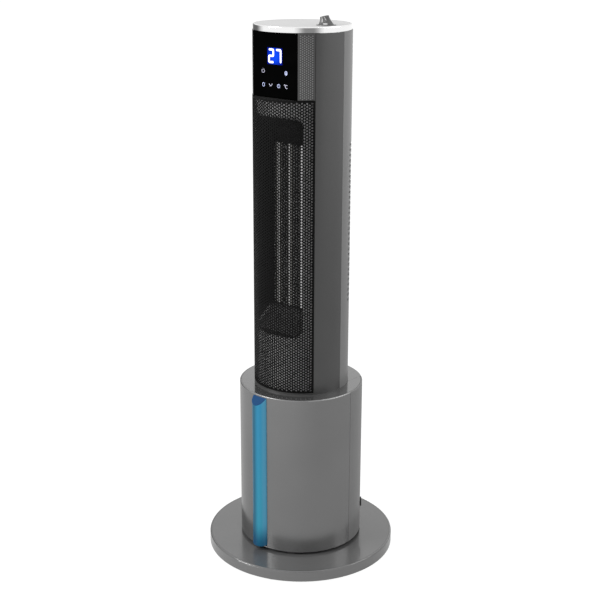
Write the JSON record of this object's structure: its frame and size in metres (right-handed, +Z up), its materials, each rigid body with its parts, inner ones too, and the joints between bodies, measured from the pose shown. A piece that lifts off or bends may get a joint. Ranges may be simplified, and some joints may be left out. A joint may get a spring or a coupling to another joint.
{
  "type": "ceramic tower fan heater",
  "caption": "Slim round tower heater with a pierced curved grille over a ceramic core, a black display, a mist nozzle, a water tank in its wider lower housing, on a round foot.",
  "frame": {"origin": "centre of the foot on the floor, at the height of the rubber feet's undersides", "axes": "+Z up along the tower, the grille and the display face -Y, +X is on the viewer's right when the front is looked at"},
  "size_m": [0.322, 0.322, 0.9175],
  "materials": {
    "shell_grey": "satin, fine metallic grey",
    "shell_rear": "satin grey",
    "base_grey": "satin grey",
    "cap_metal": "fine brushed rim",
    "panel_black": "high gloss black",
    "window_lit": "lit from behind",
    "trim_grey": "fine dimple grain",
    "grille_dark": "dark, pierced sheet",
    "inner_black": "matt black",
    "chassis_grey": "moulded",
    "column_blue": "translucent, lit from inside",
    "fin_alloy": "folded strip",
    "ceramic": "bonded bars",
    "board_green": "coated board",
    "part_white": "moulded",
    "brass": "turned",
    "steel": "plain",
    "weight_iron": "coated",
    "rubber": "matt",
    "tank_clear": "clear moulding",
    "nozzle_dark": "satin"
  },
  "bodies": {
    "base": {"base_disc": "base_grey", "base_plate": "inner_black", "base_weight": "weight_iron", "rubber_feet": "rubber", "base_screws": "steel", "pivot_hub": "chassis_grey", "hub_retainer": "steel", "swing_gear": "part_white", "glide_pads": "part_white"},
    "pinion": {"swing_pinion": "part_white"},
    "float": {"level_float": "part_white"},
    "blower_rotor": {"blower_wheel": "part_white"},
    "fan_rotor": {"fan_wheel": "inner_black"},
    "nozzle": {"mist_nozzle": "nozzle_dark"},
    "tank": {"water_tank": "tank_clear", "tank_door": "shell_rear"},
    "cap": {"tank_cap": "part_white", "cap_seal": "rubber"},
    "valve": {"valve_plunger": "steel"},
    "rocker": {"power_rocker": "nozzle_dark"},
    "body": {"housing_floor": "chassis_grey", "chassis_shelf": "chassis_grey", "front_housing": "shell_grey", "rear_housing": "shell_rear", "housing_deck": "shell_grey", "light_column": "column_blue", "light_board": "board_green", "swing_motor": "steel", "tank_bay": "chassis_grey", "mist_chamber": "chassis_grey", "mist_transducer": "brass", "mist_blower": "inner_black", "mist_duct": "part_white", "power_board": "board_green", "tilt_switch": "inner_black", "cord_inlet": "rubber", "switch_case": "inner_black", "tower_front": "shell_grey", "tower_rear": "shell_rear", "top_cap": "cap_metal", "display_panel": "panel_black", "display_window": "window_lit", "display_trims": "trim_grey", "display_board": "board_green", "front_grille": "grille_dark", "outlet_funnel": "inner_black", "heater_frame": "chassis_grey", "heater_fins": "fin_alloy", "ceramic_bars": "ceramic", "thermal_cutout": "steel", "fan_scroll": "inner_black", "fan_motor": "steel", "fan_bush": "brass", "control_board": "board_green", "carry_handle": "inner_black", "room_sensor": "part_white", "nozzle_socket": "cap_metal", "case_screws": "steel"}
  },
  "joints": [
    {"name": "body_swing", "type": "hinge", "parent": "base", "child": "body", "pos_m": [0, 0, 0.03], "axis": [0, 0, 1], "range_deg": [-40, 40]},
    {"name": "pinion_spin", "type": "hinge", "parent": "body", "child": "pinion", "pos_m": [-0.02765, -0.03181, 0.048], "axis": [0, 0, 1], "range_deg": [-100, 100]},
    {"name": "fan_spin", "type": "hinge", "parent": "body", "child": "fan_rotor", "pos_m": [0, 0.03, 0.58], "axis": [0, 0, 1], "continuous": true},
    {"name": "blower_spin", "type": "hinge", "parent": "body", "child": "blower_rotor", "pos_m": [-0.022, -0.038, 0.085], "axis": [0, 0, 1], "continuous": true},
    {"name": "nozzle_turn", "type": "hinge", "parent": "body", "child": "nozzle", "pos_m": [0.0563, -0.00892, 0.9025], "axis": [0, 0, 1], "continuous": true},
    {"name": "float_rise", "type": "slide", "parent": "body", "child": "float", "axis": [0, 0, 1], "range_m": [0, 0.026]},
    {"name": "rocker_press", "type": "hinge", "parent": "body", "child": "rocker", "pos_m": [-0.09297, 0.04943, 0.0725], "axis": [0, 0, 1], "range_deg": [0, 14.4]},
    {"name": "tank_slide", "type": "slide", "parent": "body", "child": "tank", "axis": [0, 1, 0], "range_m": [0, 0.17]},
    {"name": "cap_unscrew", "type": "hinge", "parent": "tank", "child": "cap", "pos_m": [0.034, -0.005, 0.0845], "axis": [0, 1, 0], "range_deg": [0, 270]},
    {"name": "valve_lift", "type": "slide", "parent": "cap", "child": "valve", "axis": [0, -1, 0], "range_m": [0, 0.003]}
  ],
  "couplings": [
    {"joint": "pinion_spin", "follows": "body_swing", "ratio": 2.5},
    {"joint": "valve_lift", "follows": "tank_slide", "ratio": 0.017647}
  ]
}
